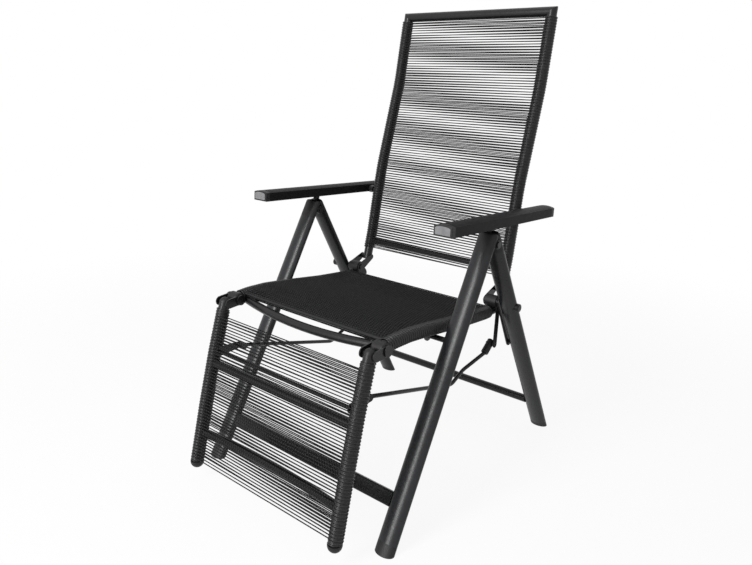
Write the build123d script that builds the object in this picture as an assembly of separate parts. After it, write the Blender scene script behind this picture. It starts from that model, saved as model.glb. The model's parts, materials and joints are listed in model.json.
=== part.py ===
from build123d import *
import os
from math import atan2, cos, degrees, hypot, radians, sin, sqrt, tan

# Reclining garden armchair: folding tube frame strung with round cord, with a linked footrest.
# Millimetres, +X to the sitter's left, the sitter looks along -Y, +Z up. While the pieces are
# made, Y is counted from the leg hinge and Z from the floor. At the end the chair is centred.

# Leg frames, each a pair of oval tubes under one hinge below the armrest
LEG_X = 266.4
LEG_WIDTH = 46
LEG_DEPTH = 25
LEG_WALL = 1.8
LEG_TOP_Y = 10.5
LEG_TOP_Z = 585
LEG_FOOT_Y = 340
LEG_HINGE_DROP = 8
LEG_HINGE_Z = LEG_TOP_Z - LEG_HINGE_DROP
LEG_CAP_RISE = 15
LEG_CAP_TOP_Z = LEG_TOP_Z + LEG_CAP_RISE
CAP_ROUND_SHARE = 0.85
LEG_CAP_LENGTH = 47
FOOT_PLUG_LENGTH = 17
LEG_KNUCKLE_R = 10
LEG_KNUCKLE_WIDTH = 8
FRONT_BAR_Z = 86
FRONT_BAR_HEIGHT = 31
FRONT_BAR_THICK = 14
REAR_BAR_Z = 86.3
REAR_BAR_R = 10

# Fasteners and fits
BOLT_R = 4
BOLT_HEAD_R = 7.5
BOLT_HEAD = 3
BUSH_R = 9
ARM_SPACER_R = 10
FOOT_PIN_R = 7
PIN_HEAD_R = 12
CAP_BOLT_R = 10
CAP_BOLT_PROUD = 6
RUN_FIT = 0.05
GAP = 0.3
SLIDE_GAP = 1.6
OVERRUN = 30

# Cord and what it is wound on
CORD_D = 3
BACK_TUBE_R = 12
SEAT_TUBE_R = 12.5
FOOT_TUBE_R = 12.5
TUBE_WALL = 1.5

# Main hinges: backrest on seat, seat on front legs, footrest on seat, link on rear legs
LEG_RUN = (LEG_FOOT_Y - LEG_TOP_Y) / LEG_TOP_Z
BACK_HINGE_Y = 118
BACK_HINGE_Z = 404
SEAT_PIVOT_Z = 383
SEAT_PIVOT_SET_BACK = 0.276
SEAT_PIVOT_Y = SEAT_PIVOT_Z * LEG_RUN - LEG_FOOT_Y + SEAT_PIVOT_SET_BACK
FOOT_HINGE_Y = -309
FOOT_HINGE_Z = 415
LINK_PIN_Z = 287
LEVER_DROP = 108
LEVER_SET_BACK = -5

# Seat
SEAT_X = 218
SEAT_REAR_Z = 381
SEAT_RISE = 37
SEAT_LINE_SHARES = ((0, 0), (0.142, 0.027), (0.39, 0.324), (0.652, 0.757), (0.80, 0.96), (0.915, 1))
SEAT_BEND_R = 200
SEAT_WRAP_FRONT = 13
SEAT_CAP_R = 15.4
SEAT_BACK_Y = 148
SEAT_WRAP_BACK_Y = 96
SEAT_CORD_BACK_Y = 104
SEAT_CORD_FRONT_Y = -294
SEAT_UNDER_FRONT_Y = -268
SEAT_REAR_BAR_Y = 84
SEAT_REAR_BAR_R = 9
SEAT_FRONT_BAR_Y = -288
SEAT_FRONT_BAR_R = 5
SEAT_FRONT_BAR_RISE = 7.3
SEAT_BOW_Y = -283
SEAT_BOW_R = 9.5
SEAT_BOW_END_DROP = 8
SEAT_BOW_DROP = 9
SEAT_BOW_REACH = 20
KNUCKLE_R = 15
PIVOT_TAB_WIDTH = 26
PLATE = 3

# Backrest
BACK_X = 215.6
BACK_FOOT_Y = 160.4
BACK_FOOT_Z = 417
BACK_TOP_Y = 323.5
BACK_TOP_Z = 1083.5
BACK_BEND_SHARES = ((0.126, 0.110), (0.3535, 0.3853), (0.788, 0.7325))
BACK_WRAP_FOOT_Z = 450
BACK_LOW_BAR_Z = 469
BACK_LOW_BAR_R = 8
BACK_BEND_R = 500
ARM_HINGE_Z = 611

# Armrests
ARM_X = 267.5
ARM_WIDTH = 44
ARM_HEIGHT = 25
ARM_WALL = 3
ARM_CROWN = 4
ARM_FRONT_Y = -185.7
ARM_FRONT_Z = 635.5
ARM_BACK_Y = 268
ARM_FALL = 21.9
ARM_FALL_RUN = 430.7
ARM_CAP = 12
ARM_PIN_Y = 10
ARM_PIN_RISE = 41
ARM_PIN_Z = LEG_HINGE_Z + ARM_PIN_RISE
LUG_THICK = 8
LUG_TIP_R = 6
RACK_LENGTH = 150
RACK_WIDTH = 12
RACK_NOTCHES = 6
RACK_NOTCH_DEPTH = 5

# Footrest
FOOT_TOP_Y = -340
FOOT_TOP_Z = 413
FOOT_LOW_Y = -434
FOOT_LOW_Z = 50
FOOT_BEND_SHARES = ((0.351, 0.311), (0.66, 0.623))
FOOT_BEND_R = 600
FOOT_WRAP_TOP_Z = 398
FOOT_CORD_TOP_Z = 392
FOOT_CORD_LOW_Z = 62
FOOT_UPPER_BAR_Z = 277
FOOT_LOWER_BAR_Z = 118
FOOT_BAR_R = 10
FOOT_BAR_BOW = 12
CROSS_ROD_R = 4.5
CROSS_ROD_Z = 306
EAR_R = 11

# Push rods from the backrest levers to the footrest
ROD_R = 4.5
ROD_X = 194.5
ROD_BACK_X = 222
ROD_BEND_Y = -9
ROD_BEND_Z = 222
ROD_KINK_Y = 40
ROD_KINK_Z = 242
ROD_SOCKET_R = 9
ROD_SOCKET_LENGTH = 30
ROD_EYE_WIDTH = 7
ROD_NUT = 8
ROD_BEND_R = 26

# Nets between the tubes
NET_PITCH = 9
NET_EDGE = 8

LEG_LEAN = degrees(atan2(LEG_RUN, 1))
ARM_SLOPE = degrees(atan2(ARM_FALL, ARM_FALL_RUN))
WRAP_BACK_R = BACK_TUBE_R + CORD_D
WRAP_SEAT_R = SEAT_TUBE_R + CORD_D
WRAP_FOOT_R = FOOT_TUBE_R + CORD_D
LEVER_PIN = (BACK_HINGE_Y + LEVER_SET_BACK, BACK_HINGE_Z - LEVER_DROP)
ROD_PIN = (FOOT_HINGE_Y + LEVER_SET_BACK, FOOT_HINGE_Z - LEVER_DROP)


def spot(x, y, z):
    return Vector(x, y, z)


def bar(y, z, radius, x0, x1):
    """Round bar along X between two places."""
    disc = Plane(origin=(x0, y, z), x_dir=(0, 1, 0), z_dir=(1, 0, 0)) * Circle(radius)
    return extrude(disc, x1 - x0)


def pipe(y, z, radius, half):
    """Round tube along X, as far to one side of the chair as to the other."""
    return bar(y, z, radius, -half, half) - bar(y, z, radius - TUBE_WALL, -half, half)


def slab(points, x0, x1):
    """Straight plate: an outline of (y, z) points, pushed from x0 to x1."""
    outline = Polyline(*[spot(x0, y, z) for y, z in points], close=True)
    return extrude(make_face(outline), x1 - x0, dir=(1, 0, 0))


def strap(start, end, radius, x0, x1, tip_radius=None):
    """Plate with round ends, from one (y, z) centre to another."""
    tip_radius = tip_radius or radius
    length = hypot(end[0] - start[0], end[1] - start[1])
    along = ((end[0] - start[0]) / length, (end[1] - start[1]) / length)
    side = (-along[1], along[0])
    corners = [
        (start[0] + side[0] * radius, start[1] + side[1] * radius),
        (end[0] + side[0] * tip_radius, end[1] + side[1] * tip_radius),
        (end[0] - side[0] * tip_radius, end[1] - side[1] * tip_radius),
        (start[0] - side[0] * radius, start[1] - side[1] * radius),
    ]
    plate = slab(corners, x0, x1)
    plate += bar(*start, radius, x0, x1)
    plate += bar(*end, tip_radius, x0, x1)
    return plate


def swept(points, radius, bend, bore=0):
    """Round tube along straight runs joined by arcs."""
    path = FilletPolyline(*points, radius=bend) if len(points) > 2 else Line(*points)
    section = Circle(radius) - Circle(bore) if bore else Circle(radius)
    return sweep(Plane(origin=path @ 0, z_dir=path % 0) * section, path=path)


def both(solid):
    """A piece and its mirror image on the other side of the chair."""
    return [solid, mirror(solid, about=Plane.YZ)]


def largest(pieces):
    """The main solid of what a cut leaves."""
    return max(pieces.solids(), key=lambda piece: piece.volume)


def slice_z(solid, low, high):
    """What of a solid lies between two heights."""
    size = solid.bounding_box().size
    middle = solid.bounding_box().center()
    block = Box(size.X + OVERRUN, size.Y + OVERRUN, high - low)
    return solid & Pos(middle.X, middle.Y, (low + high) / 2) * block


def slice_y(solid, low, high):
    size = solid.bounding_box().size
    middle = solid.bounding_box().center()
    block = Box(size.X + OVERRUN, high - low, size.Z + OVERRUN)
    return solid & Pos(middle.X, (low + high) / 2, middle.Z) * block


def offset_line(points, distance):
    """The same (y, z) line moved sideways; a positive distance is to its left."""
    moved = []
    for i, point in enumerate(points):
        before = points[max(i - 1, 0)]
        after = points[min(i + 1, len(points) - 1)]
        run = hypot(after[0] - before[0], after[1] - before[1])
        moved.append((point[0] - (after[1] - before[1]) / run * distance,
                      point[1] + (after[0] - before[0]) / run * distance))
    return moved


def place_on(points, z):
    """Y of a (y, z) line at a height."""
    for (y0, z0), (y1, z1) in zip(points, points[1:]):
        if min(z0, z1) <= z <= max(z0, z1):
            return y0 + (y1 - y0) * (z - z0) / (z1 - z0)
    return points[-1][0] if abs(points[-1][1] - z) < abs(points[0][1] - z) else points[0][0]


def height_on(points, y):
    """Height of a (y, z) line at a place along Y."""
    return place_on([(b, a) for a, b in points], y)


def cut_line(points, low, high):
    """The stretch of a rising or falling (y, z) line between two heights."""
    inside = [p for p in points if low < p[1] < high]
    ends = [(place_on(points, low), low), (place_on(points, high), high)]
    if points[0][1] > points[-1][1]:
        ends.reverse()
    return [ends[0], *inside, ends[1]]


# Leg frames
def leg_point(side, z):
    """Centre of a leg at a height; side is -1 for the front legs and 1 for the rear ones."""
    return side * (LEG_FOOT_Y - z * tan(radians(LEG_LEAN)))


def leg_bar(side, start, end, width, depth):
    """Oval bar on a leg's line, between two lengths from the floor along the leg."""
    lean = radians(LEG_LEAN)
    along = spot(0, -side * sin(lean), cos(lean))
    origin = spot(LEG_X, side * LEG_FOOT_Y, 0) + along * start
    oval = Ellipse(width / 2, depth / 2)
    return extrude(Plane(origin=origin, x_dir=(1, 0, 0), z_dir=along) * oval, end - start)


def leg_lengths():
    lean = cos(radians(LEG_LEAN))
    top = LEG_CAP_TOP_Z / lean
    return FOOT_PLUG_LENGTH / lean, top - LEG_CAP_LENGTH, top


def leg_tube(side):
    plug, seam, _ = leg_lengths()
    outer = leg_bar(side, plug, seam, LEG_WIDTH, LEG_DEPTH)
    bore = leg_bar(side, plug, seam, LEG_WIDTH - LEG_WALL * 2, LEG_DEPTH - LEG_WALL * 2)
    return outer - bore


def leg_solid(side):
    """The whole leg as one filled oval bar, for cutting what meets it."""
    return leg_bar(side, -OVERRUN, leg_lengths()[2], LEG_WIDTH, LEG_DEPTH)


def leg_foot(side):
    plug = leg_bar(side, -OVERRUN, leg_lengths()[0], LEG_WIDTH, LEG_DEPTH)
    return slice_z(plug, 0, LEG_HINGE_Z)


def knuckle_bands(kind):
    """X ranges of the hinge knuckles inside the leg caps, from the leg's middle outwards."""
    half = LUG_THICK / 2 + GAP
    middle = (half, half + LEG_KNUCKLE_WIDTH)
    outer = (middle[1] + GAP, LEG_WIDTH / 2 - GAP)
    return {"lug": (0, LUG_THICK / 2), "rear": middle, "front": outer}[kind]


def banded(kind, radius, spare=0):
    """Round knuckles on the leg hinge in both bands of a kind."""
    low, high = knuckle_bands(kind)
    low = max(low - spare, 0)
    high = high + spare
    rings = []
    for sign in (-1, 1):
        ends = sorted((LEG_X + sign * low, LEG_X + sign * high))
        rings.append(bar(0, LEG_HINGE_Z, radius, *ends))
    return rings


def leg_cap(side):
    """Moulded cap on a leg's top, bevelled against its partner and carrying hinge knuckles."""
    _, seam, top = leg_lengths()
    own = "front" if side < 0 else "rear"
    other = "rear" if side < 0 else "front"
    cap = leg_bar(side, seam, top, LEG_WIDTH, LEG_DEPTH)
    rim = cap.edges().group_by(Axis.Z)[-1]
    cap = fillet(rim, CAP_ROUND_SHARE * LEG_DEPTH * LEG_DEPTH / LEG_WIDTH / 2)
    half_space = Box(LEG_WIDTH * 2, LEG_TOP_Z, LEG_TOP_Z)
    cap &= Pos(LEG_X, side * (LEG_TOP_Z + GAP) / 2, LEG_HINGE_Z) * half_space
    for ring in banded(other, LEG_KNUCKLE_R + GAP, GAP):
        cap -= ring
    for ring in banded("lug", LEG_KNUCKLE_R + GAP, GAP):
        cap -= ring
    for ring in banded(own, LEG_KNUCKLE_R):
        cap += ring
    cap -= strap((0, LEG_HINGE_Z), (ARM_PIN_Y, ARM_PIN_Z), LEG_KNUCKLE_R + GAP,
                 LEG_X - LUG_THICK / 2 - GAP, LEG_X + LUG_THICK / 2 + GAP)
    cap -= bar(0, LEG_HINGE_Z, BOLT_R + RUN_FIT, LEG_X - LEG_WIDTH, LEG_X + LEG_WIDTH)
    return cap


def front_crossbar():
    length = LEG_X * 2 - LEG_WIDTH + LEG_WALL * 2
    block = Box(length, FRONT_BAR_THICK, FRONT_BAR_HEIGHT)
    block = fillet(block.edges().filter_by(Axis.X), LEG_WALL * 2)
    block -= Box(length, FRONT_BAR_THICK - LEG_WALL * 2, FRONT_BAR_HEIGHT - LEG_WALL * 2)
    tilted = Pos(0, leg_point(-1, FRONT_BAR_Z), FRONT_BAR_Z) * Rot(-LEG_LEAN, 0, 0) * block
    for leg in both(leg_solid(-1)):
        tilted -= leg
    return tilted


def rear_crossbar():
    half = LEG_X - LEG_WIDTH / 2 + LEG_WALL
    tube = pipe(leg_point(1, REAR_BAR_Z), REAR_BAR_Z, REAR_BAR_R, half)
    for leg in both(leg_solid(1)):
        tube -= leg
    return tube


def leg_pivot_bolt():
    low = LEG_X - LEG_WIDTH / 2 - BOLT_HEAD / 2
    high = LEG_X + LEG_WIDTH / 2
    bolt = bar(0, LEG_HINGE_Z, BOLT_R, low, high + BOLT_HEAD)
    bolt += bar(0, LEG_HINGE_Z, BOLT_HEAD_R, high, high + BOLT_HEAD)
    return bolt


def armrest_lug():
    low = LEG_X - LUG_THICK / 2
    high = LEG_X + LUG_THICK / 2
    lug = strap((0, LEG_HINGE_Z), (ARM_PIN_Y, ARM_PIN_Z), LEG_KNUCKLE_R, low, high, LUG_TIP_R)
    lug -= bar(0, LEG_HINGE_Z, BOLT_R + RUN_FIT, low - OVERRUN, high + OVERRUN)
    lug -= bar(ARM_PIN_Y, ARM_PIN_Z, BOLT_R, low - OVERRUN, high + OVERRUN)
    return lug


def armrest_slide_pin():
    reach = ARM_WIDTH / 2 - ARM_WALL - SLIDE_GAP * 3
    return bar(ARM_PIN_Y, ARM_PIN_Z, BOLT_R, LEG_X - reach, LEG_X + reach)


def seat_pivot_pin():
    """Stub axle on a front leg that carries the seat rail's tab."""
    radius = CORD_D * 2
    plate_in = SEAT_X - WRAP_SEAT_R - GAP - PLATE
    head = bar(SEAT_PIVOT_Y, SEAT_PIVOT_Z, radius + PLATE, plate_in - GAP - PLATE, plate_in - GAP)
    pin = bar(SEAT_PIVOT_Y, SEAT_PIVOT_Z, radius, plate_in - GAP - PLATE, LEG_X)
    return (pin + head) - leg_solid(-1)


def stop_bolt():
    """Bolt through a rear leg behind the seat hinge, with a domed cap outside."""
    y = leg_point(1, BACK_HINGE_Z)
    outside = LEG_X + LEG_WIDTH / 2
    cap = bar(y, BACK_HINGE_Z, CAP_BOLT_R, LEG_X, outside + CAP_BOLT_PROUD)
    rim = cap.edges().group_by(Axis.X)[-1]
    cap = fillet(rim, CAP_BOLT_PROUD / 2) - leg_solid(1)
    cap = max(cap.solids(), key=lambda piece: piece.center().X)
    return cap


def link_pin():
    y = leg_point(1, LINK_PIN_Z)
    stub = bar(y, LINK_PIN_Z, BOLT_R, link_face(), LEG_X) - leg_solid(1)
    return min(stub.solids(), key=lambda piece: piece.center().X)


def link_face():
    """Inner face of the link plates, outside the backrest levers."""
    return lever_face() + PLATE + GAP


def lever_face():
    return SEAT_X + WRAP_SEAT_R + GAP * 2


def link_plate():
    pin = (leg_point(1, LINK_PIN_Z), LINK_PIN_Z)
    hinge = (BACK_HINGE_Y, BACK_HINGE_Z)
    low = link_face()
    plate = strap(pin, hinge, EAR_R, low, low + PLATE)
    return plate - bar(*pin, BOLT_R + RUN_FIT, low - OVERRUN, low + OVERRUN)


# Seat frame
def seat_line():
    """Centre line of a seat rail, from the rear end to the footrest hinge."""
    run = FOOT_HINGE_Y - SEAT_BACK_Y
    line = [(SEAT_BACK_Y + run * a, SEAT_REAR_Z + SEAT_RISE * b) for a, b in SEAT_LINE_SHARES]
    return [*line, (FOOT_HINGE_Y, FOOT_HINGE_Z)]


def seat_tube(radius, bore=0):
    return swept([spot(SEAT_X, y, z) for y, z in seat_line()], radius, SEAT_BEND_R, bore)


def seat_rail():
    rail = seat_tube(SEAT_TUBE_R, SEAT_TUBE_R - TUBE_WALL)
    return rail - bar(FOOT_HINGE_Y, FOOT_HINGE_Z, FOOT_PIN_R + GAP, 0, LEG_X)


def seat_wrap():
    wrap = seat_tube(WRAP_SEAT_R, SEAT_TUBE_R)
    wrap = slice_y(wrap, FOOT_HINGE_Y + SEAT_WRAP_FRONT, SEAT_WRAP_BACK_Y)
    for crossbar in (seat_bow(), seat_front_bar(), seat_rear_bar()):
        wrap -= crossbar
    return largest(wrap)


def seat_rail_solid():
    return seat_tube(SEAT_TUBE_R)


def seat_cap():
    """Rounded cap on a rail's front end, bored for the footrest hinge."""
    barrel = bar(FOOT_HINGE_Y, FOOT_HINGE_Z, SEAT_CAP_R, SEAT_X - SEAT_CAP_R, SEAT_X + SEAT_CAP_R)
    barrel = fillet(barrel.edges().filter_by(GeomType.CIRCLE), SEAT_CAP_R / 3)
    barrel = slice_y(barrel, FOOT_HINGE_Y - SEAT_CAP_R, FOOT_HINGE_Y + SEAT_WRAP_FRONT)
    barrel -= seat_rail_solid()
    barrel -= bar(FOOT_HINGE_Y, FOOT_HINGE_Z, FOOT_PIN_R + RUN_FIT, 0, LEG_X)
    return largest(barrel)


def seat_bow():
    """Front bar of the seat, bowed down and forward in the middle."""
    z = height_on(seat_line(), SEAT_BOW_Y) - SEAT_BOW_END_DROP
    half = SEAT_X - SEAT_TUBE_R / 2
    path = ThreePointArc(spot(-half, SEAT_BOW_Y, z),
                         spot(0, SEAT_BOW_Y - SEAT_BOW_REACH, z - SEAT_BOW_DROP),
                         spot(half, SEAT_BOW_Y, z))
    ring = Circle(SEAT_BOW_R) - Circle(SEAT_BOW_R - TUBE_WALL)
    tube = sweep(Plane(origin=path @ 0, z_dir=path % 0) * ring, path=path)
    return between_rails(tube)


def between_rails(crossbar):
    """A crossbar without its ends inside the seat rails."""
    for rail in both(seat_rail_solid()):
        crossbar -= rail
    return largest(crossbar)


def seat_front_bar():
    z = height_on(seat_line(), SEAT_FRONT_BAR_Y) + SEAT_FRONT_BAR_RISE
    return between_rails(bar(SEAT_FRONT_BAR_Y, z, SEAT_FRONT_BAR_R, -SEAT_X, SEAT_X))


def seat_rear_bar():
    z = height_on(seat_line(), SEAT_REAR_BAR_Y)
    return between_rails(pipe(SEAT_REAR_BAR_Y, z, SEAT_REAR_BAR_R, SEAT_X))


def cord_sheet(line, distance, half):
    """Sheet one cord thick beside a (y, z) line."""
    near = offset_line(line, distance)
    far = offset_line(line, distance + (CORD_D if distance > 0 else -CORD_D))
    return slab([*near, *reversed(far)], -half, half)


def seat_cords(side):
    """Close-laid cords over the rails (1) or under them (-1), open round the pivot tabs."""
    front = SEAT_CORD_FRONT_Y if side > 0 else SEAT_UNDER_FRONT_Y
    line = cut_along(seat_line(), front, SEAT_CORD_BACK_Y)
    half = SEAT_X - sqrt(WRAP_SEAT_R ** 2 - SEAT_TUBE_R ** 2) - RUN_FIT
    sheet = cord_sheet(line, -side * SEAT_TUBE_R, half)
    inner = SEAT_X - WRAP_SEAT_R - (PLATE + GAP) * 2 - GAP
    for room in both(strap(*tab_line(), PIVOT_TAB_WIDTH / 2 + GAP, inner, SEAT_X)):
        sheet -= room
    return sheet


def tab_line():
    """Upper and lower centre of a pivot tab."""
    rail = height_on(seat_line(), SEAT_PIVOT_Y)
    return (SEAT_PIVOT_Y, rail - SEAT_TUBE_R / 2), (SEAT_PIVOT_Y, SEAT_PIVOT_Z)


def cut_along(points, low, high):
    """The stretch of a (y, z) line between two places along Y."""
    turned = [(z, y) for y, z in points]
    return [(y, z) for z, y in cut_line(turned, low, high)]


def pivot_tab():
    high = SEAT_X - WRAP_SEAT_R - GAP
    tab = strap(*tab_line(), PIVOT_TAB_WIDTH / 2, high - PLATE, high)
    return tab - bar(SEAT_PIVOT_Y, SEAT_PIVOT_Z, CORD_D * 2 + RUN_FIT, 0, LEG_X)


def knuckle_ends():
    return SEAT_X - WRAP_SEAT_R + GAP * 4, lever_face() - GAP


def back_knuckle():
    """Hinge barrel standing on a seat rail."""
    barrel = bar(BACK_HINGE_Y, BACK_HINGE_Z, KNUCKLE_R, *knuckle_ends()) - seat_rail_solid()
    barrel -= bar(BACK_HINGE_Y, BACK_HINGE_Z, BUSH_R + RUN_FIT, 0, LEG_X)
    return largest(barrel)


def back_bolt():
    """Bolt of the backrest hinge with the steel bush that the knuckle turns on."""
    head_end = knuckle_ends()[0] - PLATE - GAP * 2
    bolt = bar(BACK_HINGE_Y, BACK_HINGE_Z, BOLT_R, head_end - BOLT_HEAD, link_face() - GAP)
    bolt += bar(BACK_HINGE_Y, BACK_HINGE_Z, BOLT_HEAD_R, head_end - BOLT_HEAD, head_end)
    return bolt + bar(BACK_HINGE_Y, BACK_HINGE_Z, BUSH_R, *knuckle_ends())


# Backrest
def back_line():
    run = BACK_TOP_Y - BACK_FOOT_Y
    rise = BACK_TOP_Z - BACK_FOOT_Z
    bends = [(BACK_FOOT_Y + run * a, BACK_FOOT_Z + rise * b) for a, b in BACK_BEND_SHARES]
    return [(BACK_FOOT_Y, BACK_FOOT_Z), *bends, (BACK_TOP_Y, BACK_TOP_Z)]


def top_lean():
    """Unit vector up the last stretch of a backrest tube."""
    (y0, z0), (y1, z1) = back_line()[-2:]
    return spot(0, y1 - y0, z1 - z0).normalized()


def miter_plane():
    corner = spot(BACK_X, BACK_TOP_Y, BACK_TOP_Z)
    return Plane(origin=corner, z_dir=spot(1, 0, 0) - top_lean())


def back_tube(radius, bore=0):
    tip = spot(BACK_X, BACK_TOP_Y, BACK_TOP_Z) + top_lean() * BACK_TUBE_R * 2
    points = [spot(BACK_X, y, z) for y, z in back_line()[:-1]]
    tube = swept([*points, tip], radius, BACK_BEND_R, bore)
    return split(tube, bisect_by=miter_plane(), keep=Keep.TOP)


def back_side_tube():
    tube = back_tube(BACK_TUBE_R, BACK_TUBE_R - TUBE_WALL)
    return tube - bar(*arm_hinge(), BOLT_R + RUN_FIT, BACK_X, LEG_X)


def back_top_bar():
    tube = pipe(BACK_TOP_Y, BACK_TOP_Z, BACK_TUBE_R, BACK_X + BACK_TUBE_R * 2)
    tube = split(tube, bisect_by=miter_plane(), keep=Keep.BOTTOM)
    mirrored = miter_plane()
    other = Plane(origin=spot(-BACK_X, BACK_TOP_Y, BACK_TOP_Z),
                  z_dir=spot(-mirrored.z_dir.X, mirrored.z_dir.Y, mirrored.z_dir.Z))
    return split(tube, bisect_by=other, keep=Keep.BOTTOM)


def back_low_bar():
    y = place_on(back_line(), BACK_LOW_BAR_Z)
    tube = pipe(y, BACK_LOW_BAR_Z, BACK_LOW_BAR_R, BACK_X)
    for side in both(back_tube(BACK_TUBE_R)):
        tube -= side
    return largest(tube)


def arm_hinge():
    return place_on(back_line(), ARM_HINGE_Z), ARM_HINGE_Z


def back_wrap():
    wrap = back_tube(WRAP_BACK_R, BACK_TUBE_R)
    wrap = slice_z(wrap, BACK_WRAP_FOOT_Z, BACK_TOP_Z - BACK_TUBE_R - GAP)
    wrap -= back_low_bar()
    wrap -= bar(*arm_hinge(), BOLT_R + RUN_FIT, BACK_X, LEG_X)
    return largest(wrap)


def net(line, distance, half):
    """Sheet of crosswise cords: one plate with an even row of long gaps."""
    sheet = cord_sheet(line, distance, half)
    gaps = []
    for (y0, z0), (y1, z1) in zip(line, line[1:]):
        run = hypot(y1 - y0, z1 - z0)
        lean = degrees(atan2(z1 - z0, y1 - y0))
        count = int(run / NET_PITCH)
        for i in range(count):
            share = (i + 0.5) / count
            hole = Box((half - NET_EDGE) * 2, NET_PITCH - CORD_D, abs(distance) * 4)
            gaps.append(Pos(0, y0 + (y1 - y0) * share, z0 + (z1 - z0) * share) * Rot(lean, 0, 0) * hole)
    return sheet.cut(*gaps)


def back_cords(side):
    """Cords across the backrest, in front of the tubes (1) or behind them (-1)."""
    high = BACK_TOP_Z - BACK_TUBE_R - GAP
    line = cut_line(back_line(), BACK_LOW_BAR_Z - BACK_LOW_BAR_R, high)
    half = BACK_X - sqrt(WRAP_BACK_R ** 2 - BACK_TUBE_R ** 2) - RUN_FIT
    return net(line, side * BACK_TUBE_R, half)


def back_plate_spot():
    z = BACK_FOOT_Z + BOLT_HEAD_R
    return place_on(back_line(), z), z


def hinge_plate():
    """Inner hinge plate welded to a backrest tube's foot."""
    high = BACK_X - BACK_TUBE_R
    hinge = (BACK_HINGE_Y, BACK_HINGE_Z)
    plate = strap(hinge, back_plate_spot(), EAR_R + GAP * 5, high - PLATE, high, BOLT_HEAD_R)
    return plate - bar(*hinge, BOLT_R + RUN_FIT, 0, LEG_X)


def recline_lever():
    """Outer hinge plate with an arm below the seat, which drives the push rod."""
    low = lever_face()
    high = low + PLATE - GAP
    hinge = (BACK_HINGE_Y, BACK_HINGE_Z)
    plate = strap(hinge, back_plate_spot(), EAR_R + GAP * 5, low, high, BOLT_HEAD_R)
    plate += strap(hinge, LEVER_PIN, BOLT_HEAD_R, low, high)
    plate += bar(*back_plate_spot(), BOLT_HEAD_R - GAP * 3, BACK_X, high)
    plate -= back_tube(BACK_TUBE_R)
    plate -= bar(*hinge, BOLT_R + RUN_FIT, 0, LEG_X)
    plate -= bar(*LEVER_PIN, BOLT_R, 0, LEG_X)
    return largest(plate)


def lever_pin():
    return bar(*LEVER_PIN, BOLT_R, ROD_BACK_X - ROD_SOCKET_R, lever_face() + PLATE - GAP)


# Armrests
def arm_axis_point(y):
    return y, ARM_FRONT_Z - (y - ARM_FRONT_Y) * tan(radians(ARM_SLOPE))


def arm_section(width, height, crown, lift=0):
    """Flat-bottomed outline with a domed top, around the armrest's centre line."""
    half = width / 2
    base = -height / 2 + lift
    top = height / 2 - crown
    outline = Line((half, top), (half, base)) + Line((half, base), (-half, base))
    outline += Line((-half, base), (-half, top))
    outline += ThreePointArc((-half, top), (0, height / 2), (half, top))
    return make_face(outline)


def arm_bar(start, end, section):
    """Section pushed along the armrest between two places along Y."""
    y, z = arm_axis_point(start)
    slope = radians(ARM_SLOPE)
    along = spot(0, cos(slope), -sin(slope))
    plane = Plane(origin=(ARM_X, y, z), x_dir=(-1, 0, 0), z_dir=along)
    return extrude(plane * section, (end - start) / cos(slope))


def armrest():
    outer = arm_section(ARM_WIDTH, ARM_HEIGHT, ARM_CROWN)
    arm = arm_bar(ARM_FRONT_Y + ARM_CAP, ARM_BACK_Y - ARM_CAP, outer)
    channel = Rectangle(ARM_WIDTH - ARM_WALL * 2, ARM_HEIGHT)
    channel = Pos(0, -ARM_WALL - ARM_CROWN / 2) * channel
    arm -= arm_bar(ARM_FRONT_Y, ARM_BACK_Y, channel)
    return arm - bar(*arm_hinge(), BOLT_R + RUN_FIT, BACK_X, ARM_X)


def arm_cap(start, end, outward):
    """Moulded end of an armrest, rounded round the face that looks outward."""
    cap = arm_bar(start, end, arm_section(ARM_WIDTH, ARM_HEIGHT, ARM_CROWN))
    rim = [edge for edge in cap.edges() if abs(edge.center().Y - outward) < ARM_WALL]
    return fillet(rim, ARM_WALL / 2)


def arm_rack():
    """Notched strip in the armrest's channel, above the leg's slide pin."""
    top = ARM_HEIGHT / 2 - ARM_WALL - ARM_CROWN / 2
    pin_below = arm_axis_point(ARM_PIN_Y)[1] - ARM_PIN_Z
    low = -pin_below + LUG_TIP_R + SLIDE_GAP
    strip = Pos(0, (top + low) / 2) * Rectangle(RACK_WIDTH, top - low)
    start = ARM_PIN_Y - RACK_LENGTH
    rack = arm_bar(start, ARM_PIN_Y + LUG_TIP_R * 2, strip)
    step = RACK_LENGTH / RACK_NOTCHES
    for i in range(RACK_NOTCHES):
        y, z = arm_axis_point(start + step * (i + 0.5))
        rack -= bar(y, z + low, RACK_NOTCH_DEPTH, ARM_X - RACK_WIDTH, ARM_X + RACK_WIDTH)
    return rack


def arm_bolt():
    """Shouldered bolt from a backrest tube to its armrest."""
    inside = ARM_X - ARM_WIDTH / 2
    bolt = bar(*arm_hinge(), BOLT_R, BACK_X, inside + ARM_WALL + GAP + BOLT_HEAD)
    bolt += bar(*arm_hinge(), ARM_SPACER_R, BACK_X + WRAP_BACK_R + GAP, inside - GAP)
    return bolt + bar(*arm_hinge(), BOLT_HEAD_R, inside + ARM_WALL + GAP,
                      inside + ARM_WALL + GAP + BOLT_HEAD)


# Footrest
def foot_line():
    run = FOOT_LOW_Y - FOOT_TOP_Y
    fall = FOOT_LOW_Z - FOOT_TOP_Z
    bends = [(FOOT_TOP_Y + run * a, FOOT_TOP_Z + fall * b) for a, b in FOOT_BEND_SHARES]
    return [(FOOT_TOP_Y, FOOT_TOP_Z), *bends, (FOOT_LOW_Y, FOOT_LOW_Z)]


def foot_tube(radius, bore=0):
    return swept([spot(SEAT_X, y, z) for y, z in foot_line()], radius, FOOT_BEND_R, bore)


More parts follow.
